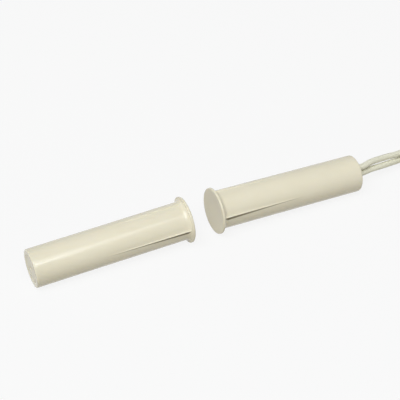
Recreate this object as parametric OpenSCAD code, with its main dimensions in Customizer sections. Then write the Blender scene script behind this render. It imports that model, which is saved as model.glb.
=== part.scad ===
// Recessed magnetic contact for a door or window: a magnet half and a switch half.
// Each half is a flanged plastic barrel that is pressed into a drilled hole.
// Both lie on a flat surface, flange to flange, as before they are fitted.
// X runs from the magnet half to the switch half, Z is up, and the surface is z = 0.
// The origin is on the surface, below the middle of the gap between the two flanges.

/* [Barrels] */
// Length of each half, from flange face to far end
half_len = 39; // [37:0.5:50]
// Radius of the barrel behind the flange
barrel_r = 4.7; // [4.5:0.05:5.2]
// Amount by which the barrel tapers from there to its plain rear stretch, in radius
pilot_step = 0.05; // [0.03:0.01:0.15]
// Distance from the flange face to the plain rear stretch
pilot_start = 22.5; // [22:0.5:26]
// Wall of the barrel
wall = 1.45; // [1.2:0.05:1.5]
// Wall behind the flange face
face_t = 1.4; // [1:0.1:2]
// Round on the barrel's rear edge
rear_edge_r = 0.3; // [0.2:0.05:0.5]
// Chamfer at the mouth of the cavity
mouth_chamfer = 0.25; // [0.1:0.05:0.4]
// Distance between the two flange faces
face_gap = 7.2; // [4:0.2:12]

/* [Flanges] */
// Radius of each flange
flange_r = 5.7; // [5.6:0.05:6.5]
// Thickness of a flange at its rim
flange_t = 0.6; // [0.5:0.05:1]
// Round on both edges of the rim
rim_edge_r = 0.15; // [0.05:0.01:0.2]
// Length of the curve that blends a flange into its barrel
flare_len = 1.1; // [0.4:0.05:1.5]
// Height of that curve
flare_h = 0.6; // [0.3:0.05:0.7]

/* [Ribs] */
// Number of crush ribs round each barrel
rib_count = 4; // [3:1:6]
// Height of a rib where it leaves the flange
rib_h = 0.6; // [0.3:0.05:0.8]
// Width of a rib at the barrel, beside the flange
rib_w = 0.7; // [0.6:0.05:1.2]
// Round on the crest of a rib
rib_crest_r = 0.1; // [0.05:0.01:0.12]
// Distance from the flange face to the point where a rib has run out
rib_end = 21.5; // [15:0.5:21.5]
// Depth of a rib's foot inside the wall
rib_root = 0.4; // [0.2:0.1:0.8]
// Angle of the magnet half's first rib above the horizontal, at the front
magnet_rib_turn = 6; // [0:1:90]
// Angle of the switch half's first rib above the horizontal, at the front
switch_rib_turn = 13; // [0:1:90]

/* [Magnet] */
// Length of the rod magnet
magnet_len = 25.4; // [15:0.2:27]
// Gap round the magnet in its barrel
magnet_clear = 0.075; // [0.02:0.005:0.15]
// Edge chamfer of the magnet
magnet_chamfer = 0.4; // [0.2:0.05:0.8]
// Gap at each end of the magnet
magnet_end_gap = 0.05; // [0.02:0.01:0.2]
// Thickness of the end plug's disc
plug_t = 2; // [1:0.1:4]
// Wall of the plug's hollow stem, which holds the magnet forward
plug_stem_wall = 1; // [0.6:0.1:1.5]
// Gap round the plug in the barrel
plug_clear = 0.02; // [0.01:0.005:0.05]
// Distance of the plug below the barrel's rear edge
plug_recess = 0.1; // [0.05:0.05:1]

/* [Reed switch] */
// Length of the glass capsule
glass_len = 14; // [12:0.5:16]
// Radius of the glass capsule
glass_r = 1.25; // [1.15:0.05:1.35]
// Wall of the glass tube
glass_wall = 0.3; // [0.25:0.01:0.35]
// Length of the fused seal at each end
seal_len = 1.6; // [1.2:0.1:2]
// Distance from the flange face to the glass
glass_start = 7; // [6.8:0.1:8]
// Radius of the reed wire
reed_wire_r = 0.28; // [0.2:0.01:0.3]
// Gap round a reed where it passes its seal
reed_clear = 0.03; // [0.02:0.005:0.04]
// Gap between a seal and the flattened blade
blade_root = 0.3; // [0.2:0.1:0.6]
// Thickness of a reed's flattened blade
blade_t = 0.22; // [0.15:0.01:0.28]
// Width of a reed's flattened blade
blade_w = 1.1; // [0.9:0.05:1.2]
// Overlap of the two blades at the contact
blade_overlap = 1; // [0.6:0.1:1.5]
// Gap between the two blades as drawn
contact_gap = 0.03; // [0.025:0.005:0.08]
// Length of each reed's tail outside the glass
tail_len = 3.6; // [3.2:0.1:3.8]
// Wall of the soft sleeve on the glass
cushion_wall = 0.58; // [0.4:0.02:0.6]
// Gap between the glass and its soft sleeve
cushion_fit = 0.02; // [0.01:0.005:0.05]
// Gap between the soft sleeve and the barrel's wall
cushion_seat = 0.1; // [0.02:0.01:0.15]
// Length by which the soft sleeve covers each end of the glass
cushion_over = 0.4; // [0.2:0.1:0.6]
// Turn of the reed and its two wires about the barrel's axis
pack_turn = 0; // [-90:5:90]

/* [Leads] */
// Radius of each insulated lead
lead_r = 0.8; // [0.7:0.05:0.85]
// Radius of a lead's copper conductor
core_r = 0.38; // [0.25:0.01:0.4]
// Gap between a conductor and its insulation
core_fit = 0.01; // [0.005:0.005:0.02]
// Gap between the front lead and the soft sleeve
lead_b_gap = 0.05; // [0.02:0.01:0.1]
// Gap between a reed's tail and the conductor beside it
tail_gap = 0.04; // [0.02:0.01:0.06]
// Length of the conductor beside a reed's tail
lap_len = 2; // [1.6:0.1:2.2]
// Length of conductor that shows past a solder joint
lap_over = 0.2; // [0:0.1:0.3]
// Length of bare conductor between the rear joint and its insulation
strip_len = 2.6; // [2:0.1:3]
// Radius of a solder joint
solder_r = 0.85; // [0.82:0.01:0.95]
// Length of a solder joint
solder_len = 1.8; // [1.4:0.1:2]
// Gap round the moving reed's tail in its joint
joint_clear = 0.07; // [0.06:0.005:0.08]
// Wall of the shrink sleeve on the rear joint
shrink_wall = 0.18; // [0.1:0.02:0.2]
// Length of the shrink sleeve
shrink_len = 7; // [5:0.5:8]
// Length by which the sleeve starts before its joint
shrink_over = 0.4; // [0.3:0.1:0.6]
// Length of the resin that closes the switch barrel
potting_len = 5.6; // [3:0.2:6]
// Distance of the resin below the barrel's rear edge
potting_recess = 0.4; // [0.2:0.05:1]
// Gap between the resin and the barrel or a lead
potting_fit = 0.01; // [0.005:0.005:0.02]

/* [Lead hanks] */
// Straight length of each lead where it leaves the resin
lead_straight = 3; // [2:0.5:4]
// Radius of a hank's outermost fold
fold_r = 8.1; // [7.9:0.05:8.4]
// Length of the straight runs between the folds
run_len = 11.4; // [10:0.2:14]
// Distance between turns that lie beside or on each other
turn_pitch = 1.65; // [1.6:0.05:1.8]
// Turns in each lead's hank, half of them in each layer
hank_turns = 4; // [2:2:4]
// Thickness of the tie that holds the hanks
tie_t = 0.2; // [0.15:0.05:0.4]
// Width of the tie
tie_w = 3; // [2:0.5:5]
// Gap between the tie and the hanks
tie_fit = 0.02; // [0.01:0.01:0.1]
// Length of insulated lead between a hank and its bare end
tail_run = 5; // [4.5:0.5:7]
// Length of the bare conductor at a lead's end
tip_len = 5; // [4:0.5:6]

/* [Hidden] */
$fn = 64;
arc_steps = 6;
sweep_sides = 8;
cut = 1; // excess length of a cutting shape
cavity_r = barrel_r - wall;
pilot_r = barrel_r - pilot_step;
taper_start = flange_t + flare_len;

// Each half rests on its flange's rim and on its rear edge, so it leans by this angle.
lean_run = (half_len - rear_edge_r) - (flange_t - rim_edge_r);
lean_drop = (flange_r - rim_edge_r) - (pilot_r - rear_edge_r);
lean_round = rim_edge_r - rear_edge_r;
lean = asin(lean_round / norm([lean_run, lean_drop])) + atan2(lean_drop, lean_run);
axis_z = (flange_t - rim_edge_r) * sin(lean) + (flange_r - rim_edge_r) * cos(lean) + rim_edge_r;

// Inside the switch half, heights are measured across the barrel from its axis.
cushion_r = glass_r + cushion_fit + cushion_wall;
glass_bore_r = glass_r - glass_wall;
reed_h = -(cavity_r - cushion_seat - cushion_r);
lead_b_h = reed_h + cushion_r + lead_b_gap + lead_r;
lead_a_h = reed_h + reed_wire_r + tail_gap + core_r;
glass_end = glass_start + glass_len;
blade_len = glass_len / 2 - seal_len - blade_root + blade_overlap / 2;
front_tail_s = glass_start - tail_len;
rear_tail_s = glass_end + tail_len;
joint_h = (reed_h + lead_a_h) / 2 + (core_r - reed_wire_r) / 2;
front_joint_s = front_tail_s + (tail_len - solder_len) / 3;
rear_joint_s = rear_tail_s - (tail_len - solder_len) / 3 - solder_len;
hook_s = front_joint_s + solder_len + lap_over - lap_len;
core_a_s = rear_joint_s - lap_over;
lead_a_s = rear_joint_s + solder_len + strip_len;
lead_b_s = glass_start;
shrink_low = joint_h - solder_r;
shrink_high = lead_a_h + lead_r;
shrink_r = (shrink_high - shrink_low) / 2 + shrink_wall;
shrink_h = (shrink_high + shrink_low) / 2;
shrink_s = rear_joint_s - shrink_over;
resin_s = half_len - potting_recess;

// Hanks: the rear lead's hank lies on the surface, and the front lead's hank on top of it.
hank_x = 67;
hank_y = -3.2;
hank_out = fold_r + lead_r;
hank_in = fold_r - turn_pitch * hank_turns / 2 - lead_r;
hank_h = turn_pitch + 2 * lead_r;
hank_a_z = tie_t;
hank_b_z = hank_a_z + 2 * turn_pitch;
hank_start_y = hank_y + fold_r;
hank_end_x = hank_x + run_len;

// Routes of the two leads from the resin to the hanks, then from the hanks to the bare ends.
route_a = concat(
    [exit_point(lead_a_h, 0), exit_point(lead_a_h, lead_straight)],
    [[48, 0.5, 3.85], [51, 0.8, 3.6], [54, 1.3, 3.25], [57, 1.9, 2.8], [60, 2.8, 2.15], [63.5, 4.2, 1.2]],
    [[hank_x, hank_start_y, hank_a_z + lead_r]]
);
route_b = concat(
    [exit_point(lead_b_h, 0), exit_point(lead_b_h, lead_straight)],
    [[48, 0.8, 5.9], [51, 1.4, 5.5], [54, 1.9, 5.05], [57, 2.3, 4.6], [60, 3, 4.35], [63.5, 4.3, 4.3]],
    [[hank_x, hank_start_y, hank_b_z + lead_r]]
);
tail_a = [
    [hank_end_x, hank_start_y, hank_a_z + lead_r + turn_pitch],
    [hank_end_x + tail_run, hank_start_y, hank_a_z + lead_r + turn_pitch]
];
tail_b = [
    [hank_end_x, hank_start_y, hank_b_z + lead_r + turn_pitch],
    [hank_end_x + tail_run, hank_start_y, hank_b_z + lead_r + turn_pitch]
];

// A point of the switch half, given as distance from the face and height across the barrel
function pack_point(s, h) = [s, -h * sin(pack_turn), h * cos(pack_turn)];
function switch_point(p) = [
    face_gap / 2 + p.x * cos(lean) + p.z * sin(lean),
    p.y,
    axis_z - p.x * sin(lean) + p.z * cos(lean)
];
function exit_point(h, along) = switch_point(pack_point(resin_s + along, h));

// Points of an arc in a profile, from angle a0 to angle a1, with its own radius each way
function arc(centre, rx, ry, a0, a1) = [
    for (i = [0 : arc_steps])
        let (a = a0 + (a1 - a0) * i / arc_steps)
            [centre.x + rx * cos(a), centre.y + ry * sin(a)]
];

// Direction of a route at one of its points, and the ring of points round it there
function unit(v) = v / norm(v);
function route_dir(p, i) = unit(p[min(i + 1, len(p) - 1)] - p[max(i - 1, 0)]);
function ring(p, i, r) =
    let (d = route_dir(p, i), side = unit(cross(d, [0, 0, 1])), up = cross(side, d))
        [for (k = [0 : sweep_sides - 1])
            let (a = 360 * (k + 0.5) / sweep_sides) p[i] + r * (cos(a) * side + sin(a) * up)];

module sweep(p, r) {
    rings = len(p);
    points = [for (i = [0 : rings - 1]) each ring(p, i, r)];
    sides = [
        for (i = [0 : rings - 2], k = [0 : sweep_sides - 1])
            let (n = (k + 1) % sweep_sides, a = i * sweep_sides, b = a + sweep_sides)
                [a + k, a + n, b + n, b + k]
    ];
    first = [for (k = [sweep_sides - 1 : -1 : 0]) k];
    last = [for (k = [0 : sweep_sides - 1]) (rings - 1) * sweep_sides + k];
    polyhedron(points, concat([first], sides, [last]), convexity = 8);
}

// A profile of distance and radius, turned about the barrel's axis
module turned(profile) {
    rotate([0, 90, 0])
        rotate([0, 0, 180])
            rotate_extrude()
                polygon([for (p = profile) [p.y, p.x]]);
}

// A round bar along the barrel from one distance to another, at a height across it
module bar(s0, s1, r, h = 0) {
    translate([s0, 0, h])
        rotate([0, 90, 0])
            cylinder(h = s1 - s0, r = r);
}

module tube(s0, s1, r, bore, h = 0) {
    difference() {
        bar(s0, s1, r, h);
        bar(s0 - cut, s1 + cut, bore, h);
    }
}

module switch_place() {
    translate([face_gap / 2, 0, axis_z])
        rotate([0, lean, 0])
            children();
}

module magnet_place() {
    mirror([1, 0, 0])
        switch_place()
            children();
}

// Places what lies along the reed, with heights across the barrel along Z
module pack_place() {
    switch_place()
        rotate([pack_turn, 0, 0])
            children();
}

// One rib: a wedge-shaped bar that sinks into the barrel as it runs away from the flange
module rib() {
    taper = pilot_step * (rib_end - taper_start) / (pilot_start - taper_start);
    slope = atan((rib_h + taper) / (rib_end - flange_t));
    depth = rib_h + rib_root;
    flank = atan(rib_h / (rib_w / 2));
    crest = arc([0, -rib_crest_r / cos(flank)], rib_crest_r, rib_crest_r, 90 - flank, 90 + flank);
    foot = depth / tan(flank);
    section = concat([[foot, -depth]], crest, [[-foot, -depth]]);
    start = flange_t / 2;
    translate([flange_t, 0, barrel_r + rib_h])
        rotate([0, slope, 0])
            translate([start - flange_t, 0, 0])
                rotate([90, 0, 90])
                    linear_extrude(rib_end - start + cut)
                        polygon(section);
}

// The moulded barrel that both halves share, with its flange face at the origin
module housing(first_rib) {
    blend = [taper_start, barrel_r + flare_h];
    outline = concat(
        [[0, 0]],
        arc([rim_edge_r, flange_r - rim_edge_r], rim_edge_r, rim_edge_r, 180, 90),
        arc([flange_t - rim_edge_r, flange_r - rim_edge_r], rim_edge_r, rim_edge_r, 90, 0),
        arc(blend, flare_len, flare_h, 180, 270),
        [[pilot_start, pilot_r]],
        arc([half_len - rear_edge_r, pilot_r - rear_edge_r], rear_edge_r, rear_edge_r, 90, 0),
        [[half_len, cavity_r + mouth_chamfer], [half_len - mouth_chamfer, cavity_r]],
        [[face_t, cavity_r], [face_t, 0]]
    );
    turned(outline);
    for (i = [0 : rib_count - 1])
        rotate([90 - first_rib - 360 * i / rib_count, 0, 0])
            difference() {
                rib();
                bar(-cut, half_len, cavity_r + wall / 4);
            }
}

module magnet_housing() {
    color("#e5e0cc")
        magnet_place()
            housing(magnet_rib_turn);
}

module switch_housing() {
    color("#e5e0cc")
        switch_place()
            housing(switch_rib_turn);
}

module magnet_rod() {
    s0 = face_t + magnet_end_gap;
    s1 = s0 + magnet_len;
    r = cavity_r - magnet_clear;
    color("#8f9296")
        magnet_place()
            turned([
                [s0, 0],
                [s0, r - magnet_chamfer],
                [s0 + magnet_chamfer, r],
                [s1 - magnet_chamfer, r],
                [s1, r - magnet_chamfer],
                [s1, 0]
            ]);
}

module magnet_plug() {
    s0 = face_t + magnet_len + 2 * magnet_end_gap;
    s1 = half_len - plug_recess;
    r = cavity_r - plug_clear;
    color("#dcd6c0")
        magnet_place()
            turned([
                [s0, r - plug_stem_wall],
                [s0, r],
                [s1, r],
                [s1, 0],
                [s1 - plug_t, 0],
                [s1 - plug_t, r - plug_stem_wall]
            ]);
}

module reed_glass() {
    bore = reed_wire_r + reed_clear;
    edge = glass_r - bore;
    s0 = glass_start;
    s1 = glass_end;
    color("#b9d4c6")
        pack_place()
            translate([0, 0, reed_h])
                difference() {
                    turned(concat(
                        [[s0, 0]],
                        arc([s0 + edge / 2, bore], edge / 2, edge, 180, 90),
                        arc([s1 - edge / 2, bore], edge / 2, edge, 90, 0),
                        [[s1, 0]]
                    ));
                    bar(s0 - cut, s1 + cut, bore);
                    bar(s0 + seal_len, s1 - seal_len, glass_bore_r);
                }
}

module reed_cushion() {
    s0 = glass_start - cushion_over;
    s1 = glass_end + cushion_over;
    color("#d8d3c8")
        pack_place()
            tube(s0, s1, cushion_r, glass_r + cushion_fit, reed_h);
}

// One reed along X: a wire tail that passes the seal, then a blade flattened to one side
module reed(side) {
    low = side > 0 ? contact_gap / 2 : -contact_gap / 2 - blade_t;
    bar(-tail_len, seal_len + 2 * blade_root, reed_wire_r);
    translate([seal_len + blade_root, -blade_w / 2, low])
        cube([blade_len, blade_w, blade_t]);
}

module front_reed() {
    color("#a9a79f")
        pack_place()
            translate([glass_start, 0, reed_h])
                reed(1);
}

module rear_reed() {
    color("#a9a79f")
        pack_place()
            translate([glass_end, 0, reed_h])
                mirror([1, 0, 0])
                    reed(-1);
}

// A blob of solder round a tail and a conductor that lie side by side
module solder(s0, tail_fit) {
    round_len = solder_len / 4;
    s1 = s0 + solder_len;
    difference() {
        translate([0, 0, joint_h])
            turned(concat(
                [[s0, 0]],
                arc([s0 + round_len, 0], round_len, solder_r, 180, 90),
                arc([s1 - round_len, 0], round_len, solder_r, 90, 0)
            ));
        bar(s0 - cut, s1 + cut, reed_wire_r + tail_fit, reed_h);
        bar(s0 - cut, s1 + cut, core_r + core_fit, lead_a_h);
    }
}

module front_solder() {
    color("#c4c6c8")
        pack_place()
            solder(front_joint_s, joint_clear);
}

module rear_solder() {
    color("#c4c6c8")
        pack_place()
            solder(rear_joint_s, core_fit);
}

module rear_shrink() {
    color("#2c2c2e")
        pack_place()
            tube(shrink_s, shrink_s + shrink_len, shrink_r, shrink_r - shrink_wall, shrink_h);
}

module lead_a_inner() {
    color("#d3d2bf")
        pack_place()
            tube(lead_a_s, resin_s, lead_r, core_r + core_fit, lead_a_h);
}

module lead_b_inner() {
    color("#d3d2bf")
        pack_place()
            tube(lead_b_s, resin_s, lead_r, core_r + core_fit, lead_b_h);
}

module lead_a_core() {
    color("#b87345")
        pack_place()
            bar(core_a_s, resin_s, core_r, lead_a_h);
}

// The front conductor runs past the reed, turns back and lies beside the front tail
module lead_b_core() {
    color("#b87345")
        pack_place() {
            bar(hook_s, resin_s, core_r, lead_b_h);
            bar(hook_s, hook_s + lap_len, core_r, lead_a_h);
            translate([hook_s, 0, (lead_a_h + lead_b_h) / 2])
                rotate([90, 0, 0])
                    rotate([0, 0, 90])
                        rotate_extrude(angle = 180)
                            translate([(lead_b_h - lead_a_h) / 2, 0])
                                circle(core_r);
        }
}

module potting() {
    color("#cfc8ae")
        pack_place()
            difference() {
                bar(resin_s - potting_len, resin_s, cavity_r - potting_fit);
                bar(0, half_len, lead_r + potting_fit, lead_a_h);
                bar(0, half_len, lead_r + potting_fit, lead_b_h);
            }
}

module lead_a() {
    color("#d3d2bf") {
        sweep(route_a, lead_r);
        sweep(tail_a, lead_r);
    }
}

module lead_b() {
    color("#d3d2bf") {
        sweep(route_b, lead_r);
        sweep(tail_b, lead_r);
    }
}

// A loop's outline, two straight runs with round ends
module loop_outline(r) {
    square([run_len, 2 * r], center = true);
    for (x = [-run_len / 2, run_len / 2])
        translate([x, 0])
            circle(r);
}

// The outer shape of one lead's hank, two layers of turns
module hank(z) {
    translate([hank_x + run_len / 2, hank_y, z])
        linear_extrude(hank_h)
            difference() {
                loop_outline(hank_out);
                loop_outline(hank_in);
            }
}

module lead_a_hank() {
    color("#d3d2bf")
        hank(hank_a_z);
}

module lead_b_hank() {
    color("#d3d2bf")
        hank(hank_b_z);
}

// A bare conductor that carries on from the end of a lead's insulation
module tip(tail) {
    last = len(tail) - 1;
    d = route_dir(tail, last);
    translate(tail[last])
        rotate([0, acos(d.z), atan2(d.y, d.x)])
            cylinder(h = tip_len, r = core_r);
}

module lead_a_tip() {
    color("#c9c6bd")
        tip(tail_a);
}

module lead_b_tip() {
    color("#c9c6bd")
        tip(tail_b);
}

module hank_tie() {
    inside = [tie_w + 2 * cut, hank_out - hank_in + 2 * tie_fit, hank_b_z + hank_h - hank_a_z + tie_fit];
    outside = [tie_w, inside.y + 2 * tie_t, inside.z + 2 * tie_t];
    color("#f0efe8")
        translate([hank_x + run_len / 2, hank_y - (hank_in + hank_out) / 2, 0])
            difference() {
                translate([-outside.x / 2, -outside.y / 2, 0])
                    cube(outside);
                translate([-inside.x / 2, -inside.y / 2, tie_t])
                    cube(inside);
            }
}

magnet_housing();
magnet_rod();
magnet_plug();
switch_housing();
reed_glass();
reed_cushion();
front_reed();
rear_reed();
front_solder();
rear_solder();
rear_shrink();
lead_a_inner();
lead_b_inner();
lead_a_core();
lead_b_core();
potting();
lead_a();
lead_b();
lead_a_hank();
lead_b_hank();
lead_a_tip();
lead_b_tip();
hank_tie();
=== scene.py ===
import math

import bmesh
import bpy
from mathutils import Matrix, Vector


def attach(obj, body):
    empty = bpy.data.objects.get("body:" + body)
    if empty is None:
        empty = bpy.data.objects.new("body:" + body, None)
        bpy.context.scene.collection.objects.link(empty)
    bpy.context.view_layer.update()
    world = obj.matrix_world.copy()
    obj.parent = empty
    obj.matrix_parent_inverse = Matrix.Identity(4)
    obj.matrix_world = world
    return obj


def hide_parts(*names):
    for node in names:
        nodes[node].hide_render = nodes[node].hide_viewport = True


# A recessed magnetic contact for a door or window: a magnet half, and a switch half with two leads.
# Sizes are in millimetres, and each mesh is brought to metres when it is put in its place.
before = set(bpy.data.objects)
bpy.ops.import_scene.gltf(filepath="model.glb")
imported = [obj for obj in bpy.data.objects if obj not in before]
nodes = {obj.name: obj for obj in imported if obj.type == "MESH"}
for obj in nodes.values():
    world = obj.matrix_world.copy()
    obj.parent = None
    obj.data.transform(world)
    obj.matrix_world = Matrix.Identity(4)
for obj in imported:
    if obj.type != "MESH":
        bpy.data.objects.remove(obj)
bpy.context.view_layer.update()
mm = 0.001
print("frame loaded:", len(nodes), "solids")

scene = bpy.context.scene
scene.view_settings.view_transform = "Standard"


# The photograph's view
photoView = {
    "place": (-94.992, -204.100, 190.174),
    "azimuth": -24.975,   # degrees, the camera's turn about the vertical
    "elevation": 38.614,
    "lens": 109.548,
    "sensor": 36.0,
    "clip": (0.01, 30),   # metres
}


def makeCamera(view):
    data = bpy.data.cameras.new("photoCamera")
    data.lens = view["lens"]
    data.sensor_width = view["sensor"]
    data.clip_start, data.clip_end = view["clip"]
    camera = bpy.data.objects.new("photoCamera", data)
    camera.location = Vector(view["place"]) * mm
    camera.rotation_euler = (math.radians(90 - view["elevation"]), 0, math.radians(view["azimuth"]))
    scene.collection.objects.link(camera)
    scene.camera = camera


makeCamera(photoView)
print("camera set")


# Both halves are built along X from the flange face at the origin, then leaned and put in place
halfPlace = {
    "faceFromMiddle": 3.6,
    "axisHeight": 5.710258,
    "lean": 1.5723458584,   # degrees, from resting on the flange's rim and the rear edge
}
inMetres = Matrix.Scale(mm, 4)
lift = Matrix.Translation((halfPlace["faceFromMiddle"], 0, halfPlace["axisHeight"]))
switchPlace = inMetres @ lift @ Matrix.Rotation(math.radians(halfPlace["lean"]), 4, "Y")
magnetPlace = Matrix.Scale(-1, 4, (1, 0, 0)) @ switchPlace


def makeObject(name, mesh):
    made = bpy.data.objects.new(name, mesh)
    scene.collection.objects.link(made)
    return made


def meshFrom(name, points, faces, edges=()):
    mesh = bpy.data.meshes.new(name)
    mesh.from_pydata([tuple(p) for p in points], list(edges), faces)
    mesh.update()
    return mesh


def cleanMesh(mesh, place, sharp=32.0, weld=1e-4):
    # welds what meets, puts it in its place, turns every face outwards and keeps crisp edges crisp
    shape = bmesh.new()
    shape.from_mesh(mesh)
    bmesh.ops.remove_doubles(shape, verts=shape.verts, dist=weld)
    bmesh.ops.transform(shape, matrix=place, verts=shape.verts)
    bmesh.ops.recalc_face_normals(shape, faces=shape.faces)
    for face in shape.faces:
        face.smooth = True
    for edge in shape.edges:
        edge.smooth = edge.calc_face_angle(0.0) < math.radians(sharp)
    shape.to_mesh(mesh)
    shape.free()
    return mesh


def makePiece(name, points, faces, finish, place, **crispness):
    mesh = meshFrom(name, points, faces)
    mesh.materials.append(finish)
    return makeObject(name, cleanMesh(mesh, place, **crispness))


def addNode(tree, kind, feeds=(), **settings):
    # a node with its settings, each fed input taking a plain value or another node's output
    node = tree.nodes.new(kind)
    for key, value in settings.items():
        setattr(node, key, value)
    for key, value in dict(feeds).items():
        if isinstance(value, bpy.types.NodeSocket):
            tree.links.new(value, node.inputs[key])
        else:
            node.inputs[key].default_value = value
    return node


def mathOn(tree, operation, *values):
    feeds = dict(enumerate(values))
    return addNode(tree, "ShaderNodeMath", feeds, operation=operation).outputs[0]


def mixColours(tree, share, first, second):
    feeds = {0: share, 6: first, 7: second}   # a Mix node's inputs for colours
    return addNode(tree, "ShaderNodeMix", feeds, data_type="RGBA").outputs[2]


def startTree(name, kind, inputs, outputs):
    # a new tree with its named sockets, and the values that it is given
    tree = bpy.data.node_groups.new(name, kind)
    for label, socketKind, value in inputs:
        made = tree.interface.new_socket(
            label, in_out="INPUT", socket_type="NodeSocket" + socketKind)
        if value is not None:
            made.default_value = value
    for label, socketKind in outputs:
        tree.interface.new_socket(label, in_out="OUTPUT", socket_type="NodeSocket" + socketKind)
    return tree, addNode(tree, "NodeGroupInput").outputs


# The finishes: two shared skins, one for plastics and one for metals, whose distances are in metres
plasticTexture = {
    "patchDetail": 3.0,
    "patchRange": (0.34, 0.66),   # the noise that gives the light tone, and the deep one
    "rubScale": 620.0,
    "rubDetail": 5.0,
    "rubDistortion": 0.6,
    "grainDetail": 2.0,
    "grainReach": 0.00001,
    "waveReach": 0.0001,
    # the colour of the painted shade along a rib's foot
    "paintedShadeTone": (0.2, 0.16, 0.085, 1),
}
metalTexture = {
    "lineScale": (260.0, 5200.0, 5200.0),   # drawn or ground lines that run along X
    "lineDetail": 4.0,
    "lineReach": 0.00002,
    "stainScale": 480.0,
    "stainDetail": 4.0,
}


def noiseOn(tree, where, scale, detail, distortion=0.0):
    feeds = {"Vector": where, "Scale": scale, "Detail": detail, "Distortion": distortion}
    return addNode(tree, "ShaderNodeTexNoise", feeds).outputs["Fac"]


def bumpOn(tree, height, strength, distance, **under):
    feeds = {"Height": height, "Strength": strength, "Distance": distance, **under}
    return addNode(tree, "ShaderNodeBump", feeds).outputs["Normal"]


def startSkin(name, own):
    shared = [
        ("Where", "Vector", None),
        ("Light Tone", "Color", (0.8, 0.8, 0.8, 1)),
        ("Deep Tone", "Color", (0.7, 0.7, 0.7, 1)),
        ("Gloss", "Float", 0.3),
        ("Gloss Spread", "Float", 0.1),
    ]
    outputs = [("Tone", "Color"), ("Roughness", "Float"), ("Normal", "Vector")]
    return startTree(name, "ShaderNodeTree", shared + own, outputs)


def closeSkin(group, given, tone, rub, normal):
    # the rub makes the gloss swing to both sides of its own value
    swing = mathOn(group, "SUBTRACT", rub, 0.5)
    rough = mathOn(group, "MULTIPLY_ADD", swing, given["Gloss Spread"], given["Gloss"])
    addNode(group, "NodeGroupOutput", {"Tone": tone, "Roughness": rough, "Normal": normal})
    return group


def plasticSkinGroup(look):
    # tone, gloss and fine relief of a moulded or extruded plastic, and its painted shade
    group, given = startSkin("plasticSkin", [
        ("Patch Scale", "Float", 150.0), ("Grain Scale", "Float", 3000.0),
        ("Grain Depth", "Float", 0.1), ("Wave Depth", "Float", 0.1),
        ("Painted Shade", "Float", 0.0), ("Painted Shade Tone", "Color", look["paintedShadeTone"]),
    ])
    where = given["Where"]
    patches = noiseOn(group, where, given["Patch Scale"], look["patchDetail"])
    light, deep = look["patchRange"]
    feeds = {"Value": patches, "From Min": light, "From Max": deep}
    spread = addNode(group, "ShaderNodeMapRange", feeds).outputs["Result"]
    tone = mixColours(group, spread, given["Light Tone"], given["Deep Tone"])
    # painted shade: the tone darkens towards the shade colour where the piece's attribute says
    shadedTone = mixColours(group, given["Painted Shade"], tone, given["Painted Shade Tone"])
    rub = noiseOn(group, where, look["rubScale"], look["rubDetail"], look["rubDistortion"])
    grain = noiseOn(group, where, given["Grain Scale"], look["grainDetail"])
    fine = bumpOn(group, grain, given["Grain Depth"], look["grainReach"])
    wave = bumpOn(group, patches, given["Wave Depth"], look["waveReach"], Normal=fine)
    return closeSkin(group, given, shadedTone, rub, wave)


def metalSkinGroup(look):
    # tone, gloss and drawn or ground lines of a metal
    group, given = startSkin("metalSkin", [("Line Depth", "Float", 0.2)])
    feeds = {"Vector": given["Where"], "Scale": look["lineScale"]}
    stretch = addNode(group, "ShaderNodeMapping", feeds).outputs["Vector"]
    lines = noiseOn(group, stretch, 1.0, look["lineDetail"])   # the stretch sets their scale
    stain = noiseOn(group, given["Where"], look["stainScale"], look["stainDetail"])
    tone = mixColours(group, stain, given["Light Tone"], given["Deep Tone"])
    relief = bumpOn(group, lines, given["Line Depth"], look["lineReach"])
    return closeSkin(group, given, tone, lines, relief)


plasticSkin = plasticSkinGroup(plasticTexture)
metalSkin = metalSkinGroup(metalTexture)


def leadCoordinates(tree, streak=0.25):
    # the place along and round a lead, shortened along it so that streaks run that way
    along = addNode(tree, "ShaderNodeAttribute", attribute_name="alongLead").outputs["Fac"]
    around = addNode(tree, "ShaderNodeAttribute", attribute_name="aroundLead").outputs["Vector"]
    parts = addNode(tree, "ShaderNodeSeparateXYZ", {0: around}).outputs
    feeds = {"X": mathOn(tree, "MULTIPLY", along, streak), "Y": parts["X"], "Z": parts["Y"]}
    return addNode(tree, "ShaderNodeCombineXYZ", feeds).outputs[0]


def makeFinish(name, skin, values, plain, alongLead=False, paintedShade=None):
    # a shared skin on the piece's own coordinates, and plain values on the shader itself
    material = bpy.data.materials.new(name)
    material.use_nodes = True
    tree = material.node_tree
    feeds = {}
    for key, value in values.items():
        feeds[key] = (*value, 1) if isinstance(value, tuple) else value   # a tone gets its alpha
    if alongLead:
        feeds["Where"] = leadCoordinates(tree)
    else:
        feeds["Where"] = addNode(tree, "ShaderNodeTexCoord").outputs["Object"]
    # the piece's attribute tells where painted shade darkens the tone
    if paintedShade:
        feeds["Painted Shade"] = addNode(tree, "ShaderNodeAttribute", attribute_name=paintedShade).outputs["Fac"]
    coat = addNode(tree, "ShaderNodeGroup", feeds, node_tree=skin).outputs
    shader = tree.nodes["Principled BSDF"].inputs
    tree.links.new(coat["Tone"], shader["Base Color"])
    tree.links.new(coat["Roughness"], shader["Roughness"])
    tree.links.new(coat["Normal"], shader["Normal"])
    for key, value in plain.items():
        shader[key].default_value = value
    return material


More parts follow.
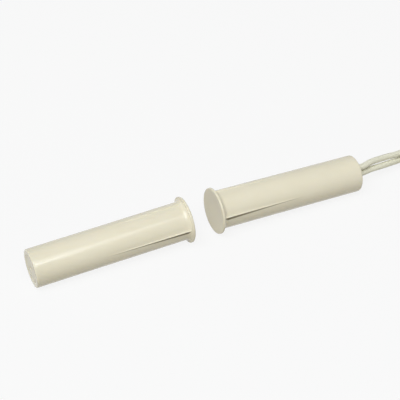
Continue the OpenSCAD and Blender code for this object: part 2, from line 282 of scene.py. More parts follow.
softGlow = {
    "Subsurface Weight": 0.12,
    "Subsurface Radius": (1.0, 0.8, 0.45),
    "Subsurface Scale": 0.0012,
    "IOR": 1.5,
}
resinGlow = {
    "Subsurface Weight": 0.1,
    "Subsurface Radius": (1.0, 0.8, 0.4),
    "Subsurface Scale": 0.001,
    "IOR": 1.55,
}
ivoryPlastic = makeFinish(
    "ivoryPlastic", plasticSkin,
    {"Light Tone": (0.835, 0.775, 0.608), "Deep Tone": (0.81, 0.752, 0.583), "Patch Scale": 130.0,
     "Gloss": 0.17, "Gloss Spread": 0.08,
     "Grain Scale": 5200.0, "Grain Depth": 0.03, "Wave Depth": 0.03},
    # the dark line along each rib's foot is painted shade, read from the ribShade attribute
    softGlow, paintedShade="ribShade",
)
plugPlastic = makeFinish(
    "plugPlastic", plasticSkin,
    {"Light Tone": (0.825, 0.765, 0.59), "Deep Tone": (0.8, 0.742, 0.565), "Patch Scale": 260.0,
     "Gloss": 0.3, "Gloss Spread": 0.08,
     "Grain Scale": 4600.0, "Grain Depth": 0.02, "Wave Depth": 0.02},
    softGlow,
)
leadInsulation = makeFinish(
    "leadInsulation", plasticSkin,
    {"Light Tone": (0.83, 0.81, 0.66), "Deep Tone": (0.812, 0.792, 0.64), "Patch Scale": 900.0,
     "Gloss": 0.34, "Gloss Spread": 0.1,
     "Grain Scale": 5000.0, "Grain Depth": 0.06, "Wave Depth": 0.03},
    {"IOR": 1.52}, alongLead=True,
)
innerInsulation = makeFinish(
    "innerInsulation", plasticSkin,
    {"Light Tone": (0.78, 0.765, 0.63), "Deep Tone": (0.73, 0.725, 0.58), "Patch Scale": 400.0,
     "Gloss": 0.36, "Gloss Spread": 0.2,
     "Grain Scale": 5000.0, "Grain Depth": 0.35, "Wave Depth": 0.1},
    {"IOR": 1.52},
)
resin = makeFinish(
    "resin", plasticSkin,
    {"Light Tone": (0.62, 0.57, 0.42), "Deep Tone": (0.54, 0.49, 0.34), "Patch Scale": 480.0,
     "Gloss": 0.16, "Gloss Spread": 0.16,
     "Grain Scale": 2400.0, "Grain Depth": 0.3, "Wave Depth": 0.25},
    resinGlow,
)
softSleeve = makeFinish(
    "softSleeve", plasticSkin,
    {"Light Tone": (0.68, 0.65, 0.57), "Deep Tone": (0.6, 0.57, 0.5), "Patch Scale": 500.0,
     "Gloss": 0.66, "Gloss Spread": 0.2,
     "Grain Scale": 6000.0, "Grain Depth": 0.9, "Wave Depth": 0.1},
    {"IOR": 1.43},
)
shrinkTube = makeFinish(
    "shrinkTube", plasticSkin,
    {"Light Tone": (0.03, 0.03, 0.032), "Deep Tone": (0.016, 0.016, 0.018), "Patch Scale": 700.0,
     "Gloss": 0.46, "Gloss Spread": 0.25,
     "Grain Scale": 4200.0, "Grain Depth": 0.7, "Wave Depth": 0.3},
    {"IOR": 1.5},
)
tiePlastic = makeFinish(
    "tiePlastic", plasticSkin,
    {"Light Tone": (0.86, 0.86, 0.82), "Deep Tone": (0.78, 0.78, 0.74), "Patch Scale": 420.0,
     "Gloss": 0.3, "Gloss Spread": 0.2,
     "Grain Scale": 5200.0, "Grain Depth": 0.5, "Wave Depth": 0.2},
    {"IOR": 1.5},
)
capsuleGlass = makeFinish(
    "capsuleGlass", plasticSkin,
    {"Light Tone": (0.82, 0.93, 0.87), "Deep Tone": (0.74, 0.89, 0.82), "Patch Scale": 300.0,
     "Gloss": 0.03, "Gloss Spread": 0.03,
     "Grain Scale": 2000.0, "Grain Depth": 0.02, "Wave Depth": 0.1},
    {"IOR": 1.52, "Transmission Weight": 1.0},
)
magnetAlloy = makeFinish(
    "magnetAlloy", metalSkin,
    {"Light Tone": (0.42, 0.43, 0.45), "Deep Tone": (0.28, 0.28, 0.29),
     "Gloss": 0.44, "Gloss Spread": 0.4, "Line Depth": 0.6},
    {"Metallic": 1.0},
)
reedAlloy = makeFinish(
    "reedAlloy", metalSkin,
    {"Light Tone": (0.62, 0.6, 0.55), "Deep Tone": (0.5, 0.48, 0.43),
     "Gloss": 0.26, "Gloss Spread": 0.3, "Line Depth": 0.3},
    {"Metallic": 1.0},
)
solderMetal = makeFinish(
    "solderMetal", metalSkin,
    {"Light Tone": (0.72, 0.73, 0.74), "Deep Tone": (0.56, 0.57, 0.58),
     "Gloss": 0.2, "Gloss Spread": 0.3, "Line Depth": 0.15},
    {"Metallic": 1.0},
)
copper = makeFinish(
    "copper", metalSkin,
    {"Light Tone": (0.86, 0.43, 0.26), "Deep Tone": (0.66, 0.3, 0.17),
     "Gloss": 0.27, "Gloss Spread": 0.3, "Line Depth": 0.4},
    {"Metallic": 1.0},
)
tinnedCopper = makeFinish(
    "tinnedCopper", metalSkin,
    {"Light Tone": (0.56, 0.53, 0.48), "Deep Tone": (0.42, 0.38, 0.32),
     "Gloss": 0.42, "Gloss Spread": 0.2, "Line Depth": 0.3},
    {"Metallic": 1.0},
)
print("finishes made")


# Each shape tree takes a mesh and a finish, and gives one real mesh with that finish
def startShape(name, own):
    inputs = [("Geometry", "Geometry", None), *own, ("Finish", "Material", None)]
    return startTree(name, "GeometryNodeTree", inputs, [("Geometry", "Geometry")])


def closeShape(tree, given, shape, weld=None):
    whole = addNode(tree, "GeometryNodeRealizeInstances", {"Geometry": shape}).outputs[0]
    if weld is not None:
        feeds = {"Geometry": whole, "Distance": weld}
        whole = addNode(tree, "GeometryNodeMergeByDistance", feeds).outputs[0]
    feeds = {"Geometry": whole, "Material": given["Finish"]}
    ended = addNode(tree, "GeometryNodeSetMaterial", feeds).outputs[0]
    addNode(tree, "NodeGroupOutput", {"Geometry": ended})
    return tree


def lineOn(tree, geometry):
    return addNode(tree, "GeometryNodeMeshToCurve", {"Mesh": geometry}).outputs["Curve"]


def lengthOn(tree):
    return addNode(tree, "GeometryNodeSplineParameter").outputs["Length"]


def scaleOn(tree, vector, factor):
    feeds = {0: vector, "Scale": factor}
    return addNode(tree, "ShaderNodeVectorMath", feeds, operation="SCALE").outputs[0]


def storeOn(tree, geometry, name, kind, value):
    feeds = {"Geometry": geometry, "Name": name, "Value": value}
    store = addNode(
        tree, "GeometryNodeStoreNamedAttribute", feeds, data_type=kind, domain="POINT")
    return store.outputs["Geometry"]


def ringOn(tree, radius, sides):
    feeds = {"Radius": radius, "Resolution": sides}
    return addNode(tree, "GeometryNodeCurvePrimitiveCircle", feeds).outputs["Curve"]


def pipeOn(tree, curve, ring):
    feeds = {"Curve": curve, "Profile Curve": ring, "Fill Caps": True}
    return addNode(tree, "GeometryNodeCurveToMesh", feeds).outputs["Mesh"]


def runTree(name, mesh, tree, values):
    # runs a shape tree on a mesh and gives its result as a plain mesh
    source = makeObject(name + "Source", mesh)
    rule = source.modifiers.new("rule", "NODES")
    rule.node_group = tree
    for item in tree.interface.items_tree:
        if item.item_type == "SOCKET" and item.in_out == "INPUT" and item.name in values:
            rule[item.identifier] = values[item.name]
    graph = bpy.context.evaluated_depsgraph_get()
    made = bpy.data.meshes.new_from_object(source.evaluated_get(graph), depsgraph=graph)
    made.name = name
    source.modifiers.remove(rule)
    bpy.data.objects.remove(source)
    return made


# The two leads: from the resin to the hank, round it, and out to a bare end
leadRule = {
    "radius": 0.8,
    "sides": 24,
    "stepsPerStretch": 4,
    "foldX": 67.0,        # middle of the hank's west folds
    "runLength": 11.4,
    "middleY": -3.2,
    "foldRadius": 8.1,    # of the outermost turn
    "pitch": 1.65,        # between turns that lie beside or on each other
    "turns": 4,
    "climb": 0.4,         # the share of a turn that leads from the lower layer to the upper
    "foldSteps": 18,
    "runSteps": 5,
    "tail": 5.0,
    "tailShares": (0.4, 0.8, 0.985, 1.0),   # where its points lie
    "tip": 5.0,
    "length": 300.6,      # the whole lead, with its bare end
}
rearLead = {
    "route": [
        (42.1690, 0, 4.0513), (45.1679, 0, 3.9690), (48, 0.5, 3.85), (51, 0.8, 3.6),
        (54, 1.3, 3.25), (57, 1.9, 2.8), (60, 2.8, 2.15), (63.5, 4.2, 1.2), (67, 4.9, 1.0),
    ],
    "bottom": 1.0,        # height of the centre line in the hank's lower layer
}
frontLead = {
    "route": [
        (42.2239, 0, 6.0506), (45.2228, 0, 5.9682), (48, 0.8, 5.9), (51, 1.4, 5.5),
        (54, 1.9, 5.05), (57, 2.3, 4.6), (60, 3.0, 4.35), (63.5, 4.3, 4.3), (67, 4.9, 4.3),
    ],
    "bottom": 4.3,
}
strandRule = {
    "radius": 0.126,
    "sides": 10,
    "outer": 6,           # strands round the middle one
    "layRadius": 0.253,
    "turnLength": 9.0,
    "steps": 28,
    "inset": 0.4,         # how far the strands reach into the insulation
}


def smoothRoute(points, before, after, steps):
    # a smooth curve through the points, with one more point at each end for its direction
    knots = [Vector(before)] + [Vector(p) for p in points] + [Vector(after)]
    curve = []
    for i in range(1, len(knots) - 2):
        p0, p1, p2, p3 = knots[i - 1:i + 3]
        for k in range(steps):
            t = k / steps
            curve.append(0.5 * (
                2 * p1 + (p2 - p0) * t + (2 * p0 - 5 * p1 + 4 * p2 - p3) * t ** 2
                + (3 * p1 - 3 * p2 + p3 - p0) * t ** 3
            ))
    return curve


def hankPoints(rule, bottom):
    # turns of two straight runs and two folds, spiralling in below and out again above
    points = []
    run, fold, turns = rule["runSteps"], rule["foldSteps"], rule["turns"]
    west, length = rule["foldX"], rule["runLength"]
    east = west + length
    perTurn = 2 * (run + fold)
    for i in range(turns * perTurn + run + 1):
        u = i / perTurn
        inward = min(u, turns - u) if u < turns else 0
        radius = rule["foldRadius"] - rule["pitch"] * inward
        rise = min(max((u - turns / 2 + rule["climb"] / 2) / rule["climb"], 0), 1)
        height = bottom + rule["pitch"] * rise * rise * (3 - 2 * rise)
        k = i % perTurn
        if k <= run:
            x, y = west + length * k / run, radius
        elif k <= run + fold:
            a = math.pi * (k - run) / fold
            x, y = east + radius * math.sin(a), radius * math.cos(a)
        elif k <= 2 * run + fold:
            x, y = east - length * (k - run - fold) / run, -radius
        else:
            a = math.pi * (k - 2 * run - fold) / fold
            x, y = west - radius * math.sin(a), -radius * math.cos(a)
        points.append(Vector((x, rule["middleY"] + y, height)))
    return points


def leadPath(rule, lead):
    hank = hankPoints(rule, lead["bottom"])
    route = lead["route"]
    before = 2 * Vector(route[0]) - Vector(route[1])
    path = smoothRoute(route, before, hank[1], rule["stepsPerStretch"]) + hank
    for share in rule["tailShares"]:
        path.append(hank[-1] + Vector((rule["tail"] * share, 0, 0)))
    return path


def tubeTree():
    # a round tube along a line of points, with the place along and around it kept for the finish
    tree, given = startShape("tubeAlongLine", [("Radius", "Float", 1.0), ("Sides", "Int", 16)])
    line = lineOn(tree, given["Geometry"])
    along = storeOn(tree, line, "alongLead", "FLOAT", mathOn(tree, "MULTIPLY", lengthOn(tree), mm))
    ring = ringOn(tree, given["Radius"], given["Sides"])
    spot = addNode(tree, "GeometryNodeInputPosition").outputs[0]
    around = storeOn(tree, ring, "aroundLead", "FLOAT_VECTOR", scaleOn(tree, spot, mm))
    return closeShape(tree, given, pipeOn(tree, along, around))


def strandTree():
    # strands laid round a middle one and twisted along it
    tree, given = startShape("twistedStrands", [
        ("Outer Strands", "Int", 6), ("Strand Radius", "Float", 0.1), ("Strand Sides", "Int", 10),
        ("Lay Radius", "Float", 0.2), ("Turn Length", "Float", 8.0), ("Steps", "Int", 30),
    ])
    feeds = {"Curve": lineOn(tree, given["Geometry"]), "Count": given["Steps"]}
    even = addNode(tree, "GeometryNodeResampleCurve", feeds).outputs["Curve"]
    feeds = {"Geometry": even, "Amount": given["Outer Strands"]}
    copies = addNode(tree, "GeometryNodeDuplicateElements", feeds, domain="SPLINE").outputs
    turns = mathOn(tree, "DIVIDE", lengthOn(tree), given["Turn Length"])
    share = mathOn(tree, "DIVIDE", copies["Duplicate Index"], given["Outer Strands"])
    feeds = {
        "Vector": addNode(tree, "GeometryNodeInputNormal").outputs["Normal"],
        "Axis": addNode(tree, "GeometryNodeInputTangent").outputs["Tangent"],
        "Angle": mathOn(tree, "MULTIPLY", mathOn(tree, "ADD", turns, share), 2 * math.pi),
    }
    spin = addNode(tree, "ShaderNodeVectorRotate", feeds, rotation_type="AXIS_ANGLE").outputs[0]
    feeds = {"Geometry": copies["Geometry"], "Offset": scaleOn(tree, spin, given["Lay Radius"])}
    laid = addNode(tree, "GeometryNodeSetPosition", feeds).outputs["Geometry"]
    join = addNode(tree, "GeometryNodeJoinGeometry")
    for strands in (laid, even):
        tree.links.new(strands, join.inputs["Geometry"])
    ring = ringOn(tree, given["Strand Radius"], given["Strand Sides"])
    return closeShape(tree, given, pipeOn(tree, join.outputs["Geometry"], ring))


tubeAlongLine = tubeTree()
twistedStrands = strandTree()


def lineMesh(name, points):
    return meshFrom(name, points, [], [(i, i + 1) for i in range(len(points) - 1)])


def makeLead(name, rule, lead):
    path = leadPath(rule, lead)
    values = {"Radius": rule["radius"], "Sides": rule["sides"], "Finish": leadInsulation}
    mesh = runTree(name, lineMesh(name, path), tubeAlongLine, values)
    return makeObject(name, cleanMesh(mesh, inMetres)), path


def makeTip(name, rule, length, path):
    ends = [path[-1] - Vector((rule["inset"], 0, 0)), path[-1] + Vector((length, 0, 0))]
    values = {
        "Outer Strands": rule["outer"], "Strand Radius": rule["radius"],
        "Strand Sides": rule["sides"], "Lay Radius": rule["layRadius"],
        "Turn Length": rule["turnLength"], "Steps": rule["steps"], "Finish": tinnedCopper,
    }
    mesh = runTree(name, lineMesh(name, ends), twistedStrands, values)
    return makeObject(name, cleanMesh(mesh, inMetres))


tieRule = {
    "middle": (72.7, -9.65),
    "width": 3.0,
    "across": 5.34,
    "height": 6.97,
    "corner": 1.02,
    "cornerSteps": 8,
    "thickness": 0.2,
    "edgeRound": 0.06,
    "sharp": 60,          # degrees between faces from which an edge looks crisp
}


def makeTie(name, rule):
    # a flat band bent round both hanks, with a softly rounded edge
    half, high, corner = rule["across"] / 2, rule["height"], rule["corner"]
    middleX, middleY = rule["middle"]
    centres = [
        (half - corner, high - corner, 0), (corner - half, high - corner, 90),
        (corner - half, corner, 180), (half - corner, corner, 270),
    ]
    w, e, t = rule["width"] / 2, rule["edgeRound"], rule["thickness"]
    section = [
        (-w, e), (-w + e, 0), (w - e, 0), (w, e),
        (w, t - e), (w - e, t), (-w + e, t), (-w, t - e),
    ]
    points, faces = [], []
    steps, n = rule["cornerSteps"], len(section)
    for cy, cz, start in centres:
        for k in range(steps + 1):
            a = math.radians(start + 90 * k / steps)
            for x, depth in section:
                y, z = cy + (corner - depth) * math.cos(a), cz + (corner - depth) * math.sin(a)
                points.append((middleX + x, middleY + y, z))
    count = len(points) // n
    for i in range(count):
        near, far = i * n, (i + 1) % count * n
        faces += [(near + k, near + (k + 1) % n, far + (k + 1) % n, far + k) for k in range(n)]
    return makePiece(name, points, faces, tiePlastic, inMetres, sharp=rule["sharp"])


leadRear, rearPath = makeLead("leadRear", leadRule, rearLead)
leadFront, frontPath = makeLead("leadFront", leadRule, frontLead)
tipRear = makeTip("tipRear", strandRule, leadRule["tip"], rearPath)
tipFront = makeTip("tipFront", strandRule, leadRule["tip"], frontPath)
hankTie = makeTie("hankTie", tieRule)
for piece, slotName, stoodFor in (
    (leadRear, "lead_insulation", ("lead_a", "lead_a_hank")),
    (leadFront, "lead_insulation", ("lead_b", "lead_b_hank")),
    (tipRear, "tinned_copper", ("lead_a_tip",)),
    (tipFront, "tinned_copper", ("lead_b_tip",)),
    (hankTie, "tie_plastic", ("hank_tie",)),
):
    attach(piece, "switch")
    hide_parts(*stoodFor)
print("leads laid")


# The two moulded barrels, alike but for the way they have rolled. A barrel is two sectors of two
# ribs each: the ribs of a sector mirror each other, and the first has painted shade on its foot.
barrel = {
    "length": 39.0,
    "radius": 4.7,
    "pilotRadius": 4.65,
    "pilotStart": 22.5,
    "cavity": 3.25,
    "face": 1.4,          # thickness of the closed end
    "rearRound": 0.3,
    "mouthChamfer": 0.25,
    "flangeRadius": 5.7,
    "flangeThick": 0.6,
    "rimRound": 0.27,     # at the face
    "backRound": 0.12,
    "dishRadius": 5.0,
    "dishDepth": 0.17,
    "flareLength": 1.1,
    "flareHeight": 0.55,
    "flareCurve": 1.8,    # 1 is a straight cone, and more is hollower
    "ribs": 4,
    "magnetRib": 6.0,     # degrees of the first rib above the horizontal, at the front
    "switchRib": 13.0,
    "ribHeight": 0.45,
    "ribFlank": 66.0,     # slope of a rib's sides
    "ribRound": 0.09,
    "ribEnd": 21.5,
    "rampHeight": 0.16,   # towards its sector's other rib, a rib starts as a hollow ramp
    "rampWidth": 0.9,
    "shadeWidth": 1.8,    # width of the painted shade along the foot, as a share of the rib's height
    "shadeCore": 0.7,     # how much of its width is fully dark
    "shadeFade": 0.7,     # 1 fades it evenly with the rib, and less keeps it dark for longer
    "weld": 0.002,
}
# How finely its mesh is laid out
barrelGrid = {
    "dishSteps": 6,
    "rimSteps": 6,
    "backSteps": 5,
    "flareSteps": 12,
    "rearSteps": 7,
    "ribbedRows": (2.6, 3.4, 4.4, 5.5, 7, 8.5, 10, 11.5, 13, 14.5, 16, 17, 18,
                   18.6, 19.1, 19.5, 19.9, 20.4, 21.2),
    "pilotRows": (25, 28, 31, 34, 36.5, 38.3),
    "cavityRows": (36, 30, 24, 18, 12, 6),
    "floorRing": 1.6,     # radius of a ring of points on the cavity's floor
    "dishGuard": 0.08,    # a guard row, this close to an edge, keeps the flat beside it flat
    "edgeGuard": 0.1,
    "mouthGuard": 0.03,
    "narrowest": 0.14,    # half the width of a rib's columns where there is no rib
    "topShare": 0.7,      # a rib's rounded top takes no more of its half width than this
    "flatShares": (0, 0.35, 0.7, 0.85, 1),   # the five columns where there is no rib
    "rampShares": (0.15, 0.35, 0.6, 0.8, 1),
    "plainSteps": 12,     # columns between a rib's foot and the middle of the plain stretch
    "halvings": 50,       # of the search for a rib's foot
}


def arcPoints(centre, reachS, reachR, start, end, steps):
    points = []
    for i in range(steps + 1):
        a = math.radians(start + (end - start) * i / steps)
        points.append((centre[0] + reachS * math.cos(a), centre[1] + reachR * math.sin(a)))
    return points


def barrelOutline(b, grid):
    # rows of (distance from the face, radius, whether a rib may rise there), from the face's middle
    rim, top = b["rimRound"], b["flangeRadius"] - b["rimRound"]
    back, backTop = b["flangeThick"] - b["backRound"], b["flangeRadius"] - b["backRound"]
    n = grid["dishSteps"]
    front = [(b["dishDepth"] * (1 - (k / n) ** 2), b["dishRadius"] * k / n) for k in range(n + 1)]
    front += [(0, b["dishRadius"] + grid["dishGuard"]), (0, top - grid["edgeGuard"])]
    front += arcPoints((rim, top), rim, rim, 180, 90, grid["rimSteps"])
    front += arcPoints((back, backTop), b["backRound"], b["backRound"], 90, 0, grid["backSteps"])

    flareEnd = b["flangeThick"] + b["flareLength"]
    fall = (b["radius"] - b["pilotRadius"]) / (b["pilotStart"] - flareEnd)
    ribbed = []
    for k in range(grid["flareSteps"] + 1):
        u = k / grid["flareSteps"]
        rise = b["flareHeight"] * (1 - u) ** b["flareCurve"]
        ribbed.append((b["flangeThick"] + u * b["flareLength"], b["radius"] + rise))
    ribbed += [(s, b["radius"] - fall * (s - flareEnd)) for s in grid["ribbedRows"]]

    length, rear, rearTop = b["length"], b["rearRound"], b["pilotRadius"] - b["rearRound"]
    mouth = b["cavity"] + b["mouthChamfer"]
    hollow = [(s, b["pilotRadius"]) for s in (b["pilotStart"], *grid["pilotRows"])]
    hollow += arcPoints((length - rear, rearTop), rear, rear, 90, 0, grid["rearSteps"])
    hollow += [(length, rearTop - grid["edgeGuard"]), (length, mouth + grid["mouthGuard"])]
    hollow += [(length, mouth), (length - b["mouthChamfer"], b["cavity"])]
    hollow += [(s, b["cavity"]) for s in (*grid["cavityRows"], b["face"])]
    hollow += [(b["face"], grid["floorRing"]), (b["face"], 0)]
    return [(s, r, rows is ribbed) for rows in (front, ribbed, hollow) for s, r in rows]


def ribProfile(b, s):
    # the reach of a rib's rounded top at this row, and its height above the barrel's axis at a
    # distance from its own middle
    flank = math.radians(b["ribFlank"])
    fall = (b["radius"] - b["pilotRadius"]) * b["ribEnd"] / b["pilotStart"]
    slope = (b["ribHeight"] + fall) / b["ribEnd"]
    middle = b["radius"] + b["ribHeight"] - slope * s - b["ribRound"]
    turn = b["ribRound"] * math.sin(flank)
    apex = middle + b["ribRound"] / math.cos(flank)

    def height(x):
        if abs(x) <= turn:
            return middle + math.sqrt(b["ribRound"] ** 2 - x * x)
        return apex - abs(x) * math.tan(flank)

    return turn, height


def ribFoot(height, radius, widest, halvings):
    # half the width of a rib where it meets this radius
    if height(0) <= radius:
        return 0.0
    low, high = 0.0, widest
    for _ in range(halvings):
        trial = (low + high) / 2
        if math.hypot(trial, height(trial)) > radius:
            low = trial
        else:
            high = trial
    return low


def sectorColumns(b, grid, row, ramped):
    # (angle, radius, shade) of one side of a rib, out to the middle of the plain stretch: either
    # the side that a hollow ramp leads up to, or the steep side with its dark line of painted shade
    s, radius, ribbed = row
    narrow, rise = grid["narrowest"], 0.0
    if ribbed:
        turn, height = ribProfile(b, s)
        rise = max(height(0) - radius, 0.0)
    strength = min(rise / b["ribHeight"], 1.0)
    ramp = b["rampHeight"] * strength if ramped else 0.0
    if ribbed:
        foot = ribFoot(height, radius + ramp, 2 * b["ribHeight"], grid["halvings"])
        foot = max(foot, narrow)
        turn = min(turn, grid["topShare"] * foot)
        side = []
        for x in (0, turn / 2, turn, (turn + foot) / 2, foot):
            z = math.sqrt((radius + ramp) ** 2 - x * x)
            if x < foot:
                z = max(height(x), z)
            side.append((math.atan2(x, z), math.hypot(x, z), 0.0))
    else:
        side = [(narrow * k / radius, radius, 0.0) for k in grid["flatShares"]]
    first = side[-1][0]
    if ramped:
        width = max(b["rampWidth"] * strength, narrow) / radius
        for k in grid["rampShares"]:
            side.append((first + width * k, radius + ramp * (1 - k) ** 2, 0.0))
    else:
        # painted shade along the steep foot, darkest where the rib stands highest
        dark = strength ** b["shadeFade"]
        side[-2:] = [(a, r, dark) for a, r, _ in side[-2:]]
        width = max(b["shadeWidth"] * rise, narrow) / radius
        side += [(first + width * b["shadeCore"], radius, dark), (first + width, radius, 0.0)]
    last, steps = side[-1][0], grid["plainSteps"]
    spare = math.pi / b["ribs"] - last
    return side + [(last + spare * k / steps, radius, 0.0) for k in range(1, steps + 1)]


def sectorMesh(b, grid):
    # half of the barrel, with two ribs, closed from the face to the bottom of the cavity
    rows, points, shades, faces = [], [], [], []
    ribPitch = 2 * math.pi / b["ribs"]
    for row in barrelOutline(b, grid):
        s, radius, _ = row
        if radius == 0:
            columns = [(0, 0, 0.0)]
        else:
            steep = sectorColumns(b, grid, row, False)
            low = [(-a, r, shade) for a, r, shade in reversed(steep[1:])]
            low += sectorColumns(b, grid, row, True)
            columns = low + [(ribPitch - a, r, 0.0) for a, r, _ in reversed(low)][1:]
        rows.append(range(len(points), len(points) + len(columns)))
        points += [(s, r * math.sin(a), r * math.cos(a)) for a, r, _ in columns]
        shades += [shade for _, _, shade in columns]
    for near, far in zip(rows, rows[1:]):
        if len(near) == 1:
            faces += [(near[0], far[k], far[k + 1]) for k in range(len(far) - 1)]
        elif len(far) == 1:
            faces += [(near[k + 1], near[k], far[0]) for k in range(len(near) - 1)]
        else:
            faces += [(near[k], far[k], far[k + 1], near[k + 1]) for k in range(len(near) - 1)]
    mesh = meshFrom("barrelSector", points, faces)
    # each point's painted shade, which the finish mixes into its tone
    mesh.attributes.new("ribShade", "FLOAT", "POINT").data.foreach_set("value", shades)
    return mesh


def roundTree():
    # repeats a sector round the X axis and welds its seams
    tree, given = startShape("repeatRound", [
        ("Count", "Int", 4), ("First Angle", "Float", 0.0), ("Step Angle", "Float", 1.0),
        ("Weld", "Float", 0.001),
    ])
    spots = addNode(tree, "GeometryNodePoints", {"Count": given["Count"]}).outputs[0]
    order = addNode(tree, "GeometryNodeInputIndex").outputs[0]
    angle = mathOn(tree, "MULTIPLY_ADD", order, given["Step Angle"], given["First Angle"])
    aboutX = addNode(tree, "ShaderNodeCombineXYZ", {"X": angle}).outputs[0]
    turn = addNode(tree, "FunctionNodeEulerToRotation", {0: aboutX}).outputs[0]
    feeds = {"Points": spots, "Instance": given["Geometry"], "Rotation": turn}
    copies = addNode(tree, "GeometryNodeInstanceOnPoints", feeds).outputs["Instances"]
    return closeShape(tree, given, copies, weld=given["Weld"])


repeatRound = roundTree()


def makeBarrel(name, b, firstRib, place):
    sectors = b["ribs"] // 2
    values = {
        "Count": sectors, "First Angle": math.radians(90 - firstRib),
        "Step Angle": 2 * math.pi / sectors, "Weld": b["weld"], "Finish": ivoryPlastic,
    }
    mesh = runTree(name, sectorMesh(b, barrelGrid), repeatRound, values)
    return makeObject(name, cleanMesh(mesh, place))


magnetBarrel = makeBarrel("magnetBarrel", barrel, barrel["magnetRib"], magnetPlace)
switchBarrel = makeBarrel("switchBarrel", barrel, barrel["switchRib"], switchPlace)
for piece, body, node in (
    (magnetBarrel, "magnet", "magnet_housing"), (switchBarrel, "switch", "switch_housing"),
):
    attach(piece, body)
    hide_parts(node)
print("barrels turned")


# What closes the two barrels: the magnet's plug and the switch's resin
plug = {
    "start": 26.9,
    "end": 38.9,
    "radius": 3.23,
    "disc": 2.0,          # thickness of its closed end, behind the hollow stem
    "stemWall": 1.0,
    "edge": 0.12,
    "boreChamfer": 0.1,
    "tipChamfer": 0.15,
    "gateRadius": 0.5,
    "gateDepth": 0.1,
    "gateEdge": 0.25,
    "arcSteps": 5,
    "segments": 96,
}


def ringPoints(s, radius, count):
    turns = [2 * math.pi * k / count for k in range(count)]
    return [(s, radius * math.cos(a), radius * math.sin(a)) for a in turns]


def lathe(name, outline, segments, finish, place):
    # an outline of (distance, radius) turned about the axis, closed where it meets it
    points, faces, rows = [], [], []
    for s, r in outline:
        if r == 0:
            rows.append([len(points)] * segments)
            points.append((s, 0, 0))
        else:
            rows.append(range(len(points), len(points) + segments))
            points += ringPoints(s, r, segments)
    for near, far in zip(rows, rows[1:]):
        for k in range(segments):
            n = (k + 1) % segments
            corners = list(dict.fromkeys((near[k], near[n], far[n], far[k])))
            if len(corners) > 2:
                faces.append(corners)
    return makePiece(name, points, faces, finish, place)


def plugOutline(p):
    start, end, radius, edge = p["start"], p["end"], p["radius"], p["edge"]
    inner, back, floor = radius - p["stemWall"], end - p["disc"], end - p["gateDepth"]
    bore, tip, gate, steps = p["boreChamfer"], p["tipChamfer"], p["gateEdge"], p["arcSteps"]
    outline = [(back, 0), (back, inner - bore), (back - bore, inner), (start + bore, inner)]
    outline += [(start, inner + bore), (start, radius - tip), (start + tip, radius), (back, radius)]
    outline += arcPoints((end - edge, radius - edge), edge, edge, 90, 0, steps)
    outline += arcPoints((end, p["gateRadius"] + gate), p["gateDepth"], gate, 0, -90, steps)[1:-1]
    return outline + [(floor, p["gateRadius"]), (floor, 0)]


magnetPlug = lathe("magnetPlug", plugOutline(plug), plug["segments"], plugPlastic, magnetPlace)
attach(magnetPlug, "magnet")
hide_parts("magnet_plug")

resinFill = {
    "start": 33.0,
    "level": 38.48,
    "radius": 3.24,
    "rise": 0.26,         # at the wall
    "leadShare": 0.9,     # the rise round a lead, as a share of that
    "reach": 0.34,
    "leads": (-0.6, 1.4),   # the leads' distances above the axis
    "leadRadius": 0.8,
    "rings": 26,
    "segments": 96,
}


def makeResin(name, fill, place):
    # the poured end: flat in the middle, drawn up a little at the wall and round each lead
    def level(y, z):
        wall = math.exp(-(fill["radius"] - math.hypot(y, z)) / fill["reach"])
        height = fill["level"] + fill["rise"] * wall
        for above in fill["leads"]:
            away = max(math.hypot(y, z - above) - fill["leadRadius"], 0)
            height += fill["leadShare"] * fill["rise"] * math.exp(-away / fill["reach"])
        return min(height, fill["level"] + fill["rise"])

    n, radius, start = fill["segments"], fill["radius"], fill["start"]
    points, faces = [(level(0, 0), 0, 0)], []
    for i in range(1, fill["rings"] + 1):
        ring = ringPoints(start, radius * i / fill["rings"], n)
        points += [(level(y, z), y, z) for _, y, z in ring]
    points += ringPoints(start, radius, n) + [(start, 0, 0)]
    last = len(points) - 1
    for k in range(n):
        m = (k + 1) % n
        faces.append((0, 1 + k, 1 + m))
        for i in range(fill["rings"]):
            a, b = 1 + i * n, 1 + (i + 1) * n
            faces.append((a + k, b + k, b + m, a + m))
        faces.append((last - n + k, last, last - n + m))
    return makePiece(name, points, faces, resin, place)


switchResin = makeResin("switchResin", resinFill, switchPlace)
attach(switchResin, "switch")
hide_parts("potting")
print("barrels closed")


# The inside parts keep their solids and get their own finishes
insideFinish = {
    "magnet_rod": magnetAlloy, "reed_glass": capsuleGlass, "reed_cushion": softSleeve,
    "front_reed": reedAlloy, "rear_reed": reedAlloy, "front_solder": solderMetal,
    "rear_solder": solderMetal, "rear_shrink": shrinkTube, "lead_a_inner": innerInsulation,
    "lead_b_inner": innerInsulation, "lead_a_core": copper, "lead_b_core": copper,
}
for nodeName, finish in insideFinish.items():
    for slot in nodes[nodeName].material_slots:
        slot.material = finish
print("inside parts finished")


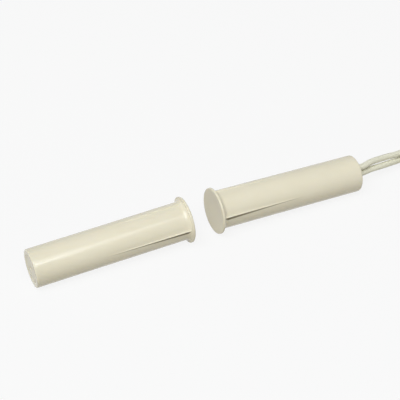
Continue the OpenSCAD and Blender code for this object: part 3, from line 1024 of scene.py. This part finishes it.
# Floor, lamps and the white surroundings, in metres
studio = {
    "floorSize": 6.0,
    # the floor's own colour, which lights the object from below
    "floorTone": (0.49, 0.47, 0.415, 1),
    # what the camera sees of it, with the object's shadow on it
    "floorShown": (0.09, 0.09, 0.09, 1),
    # what the camera sees on top of that, so that it comes out near white
    "floorLift": 0.865,
    "fill": (0.206, 0.197, 0.176, 1),
    "background": (0.95, 0.95, 0.95, 1),
    "lampTone": (0.932, 0.964, 1.0),
    "lampTarget": (0, 0, 0.005),
    "lamps": {              # place, width, height and power
        "key": ((-0.232, -0.498, 0.953), 1.0, 0.7, 6.6),
        "side": ((-0.546, -0.315, 0.901), 0.8, 0.5, 4.85),
        "glint": ((0.038, -0.283, 0.409), 0.04, 0.07, 0.04),
    },
}


def whitePath(tree):
    # 1 for rays that should see the white background
    rays = addNode(tree, "ShaderNodeLightPath").outputs
    seen = mathOn(tree, "MAXIMUM", rays["Is Camera Ray"], rays["Is Glossy Ray"])
    return mathOn(tree, "MAXIMUM", seen, rays["Is Transmission Ray"])


def makeFloor(rule):
    half = rule["floorSize"] / 2
    corners = [(-half, -half, 0), (half, -half, 0), (half, half, 0), (-half, half, 0)]
    floor = makeObject("floor", meshFrom("floor", corners, [(0, 1, 2, 3)]))
    material = bpy.data.materials.new("paleFloor")
    material.use_nodes = True
    tree = material.node_tree
    tree.nodes.remove(tree.nodes["Principled BSDF"])
    white = whitePath(tree)
    tone = mixColours(tree, white, rule["floorTone"], rule["floorShown"])
    lifted = mathOn(tree, "MULTIPLY", white, rule["floorLift"])
    matte = addNode(tree, "ShaderNodeBsdfDiffuse", {"Color": tone}).outputs[0]
    glow = addNode(tree, "ShaderNodeEmission", {"Strength": lifted}).outputs[0]
    both = addNode(tree, "ShaderNodeAddShader", {0: matte, 1: glow}).outputs[0]
    tree.links.new(both, tree.nodes["Material Output"].inputs["Surface"])
    floor.data.materials.append(material)


def makeWorld(rule):
    world = bpy.data.worlds.new("studioWorld")
    scene.world = world
    world.use_nodes = True
    tree = world.node_tree
    tone = mixColours(tree, whitePath(tree), rule["fill"], rule["background"])
    tree.links.new(tone, tree.nodes["Background"].inputs["Color"])


def makeLamp(name, tone, target, place, wide, high, power):
    data = bpy.data.lights.new(name, "AREA")
    data.shape = "RECTANGLE"
    data.size = wide
    data.size_y = high
    data.energy = power
    data.color = tone
    lamp = bpy.data.objects.new(name, data)
    lamp.location = place
    lamp.rotation_euler = (Vector(target) - Vector(place)).to_track_quat("-Z", "Y").to_euler()
    lamp.visible_camera = False
    scene.collection.objects.link(lamp)


makeFloor(studio)
makeWorld(studio)
for lampName, lamp in studio["lamps"].items():
    makeLamp(lampName + "Lamp", studio["lampTone"], studio["lampTarget"], *lamp)
print("studio lit")
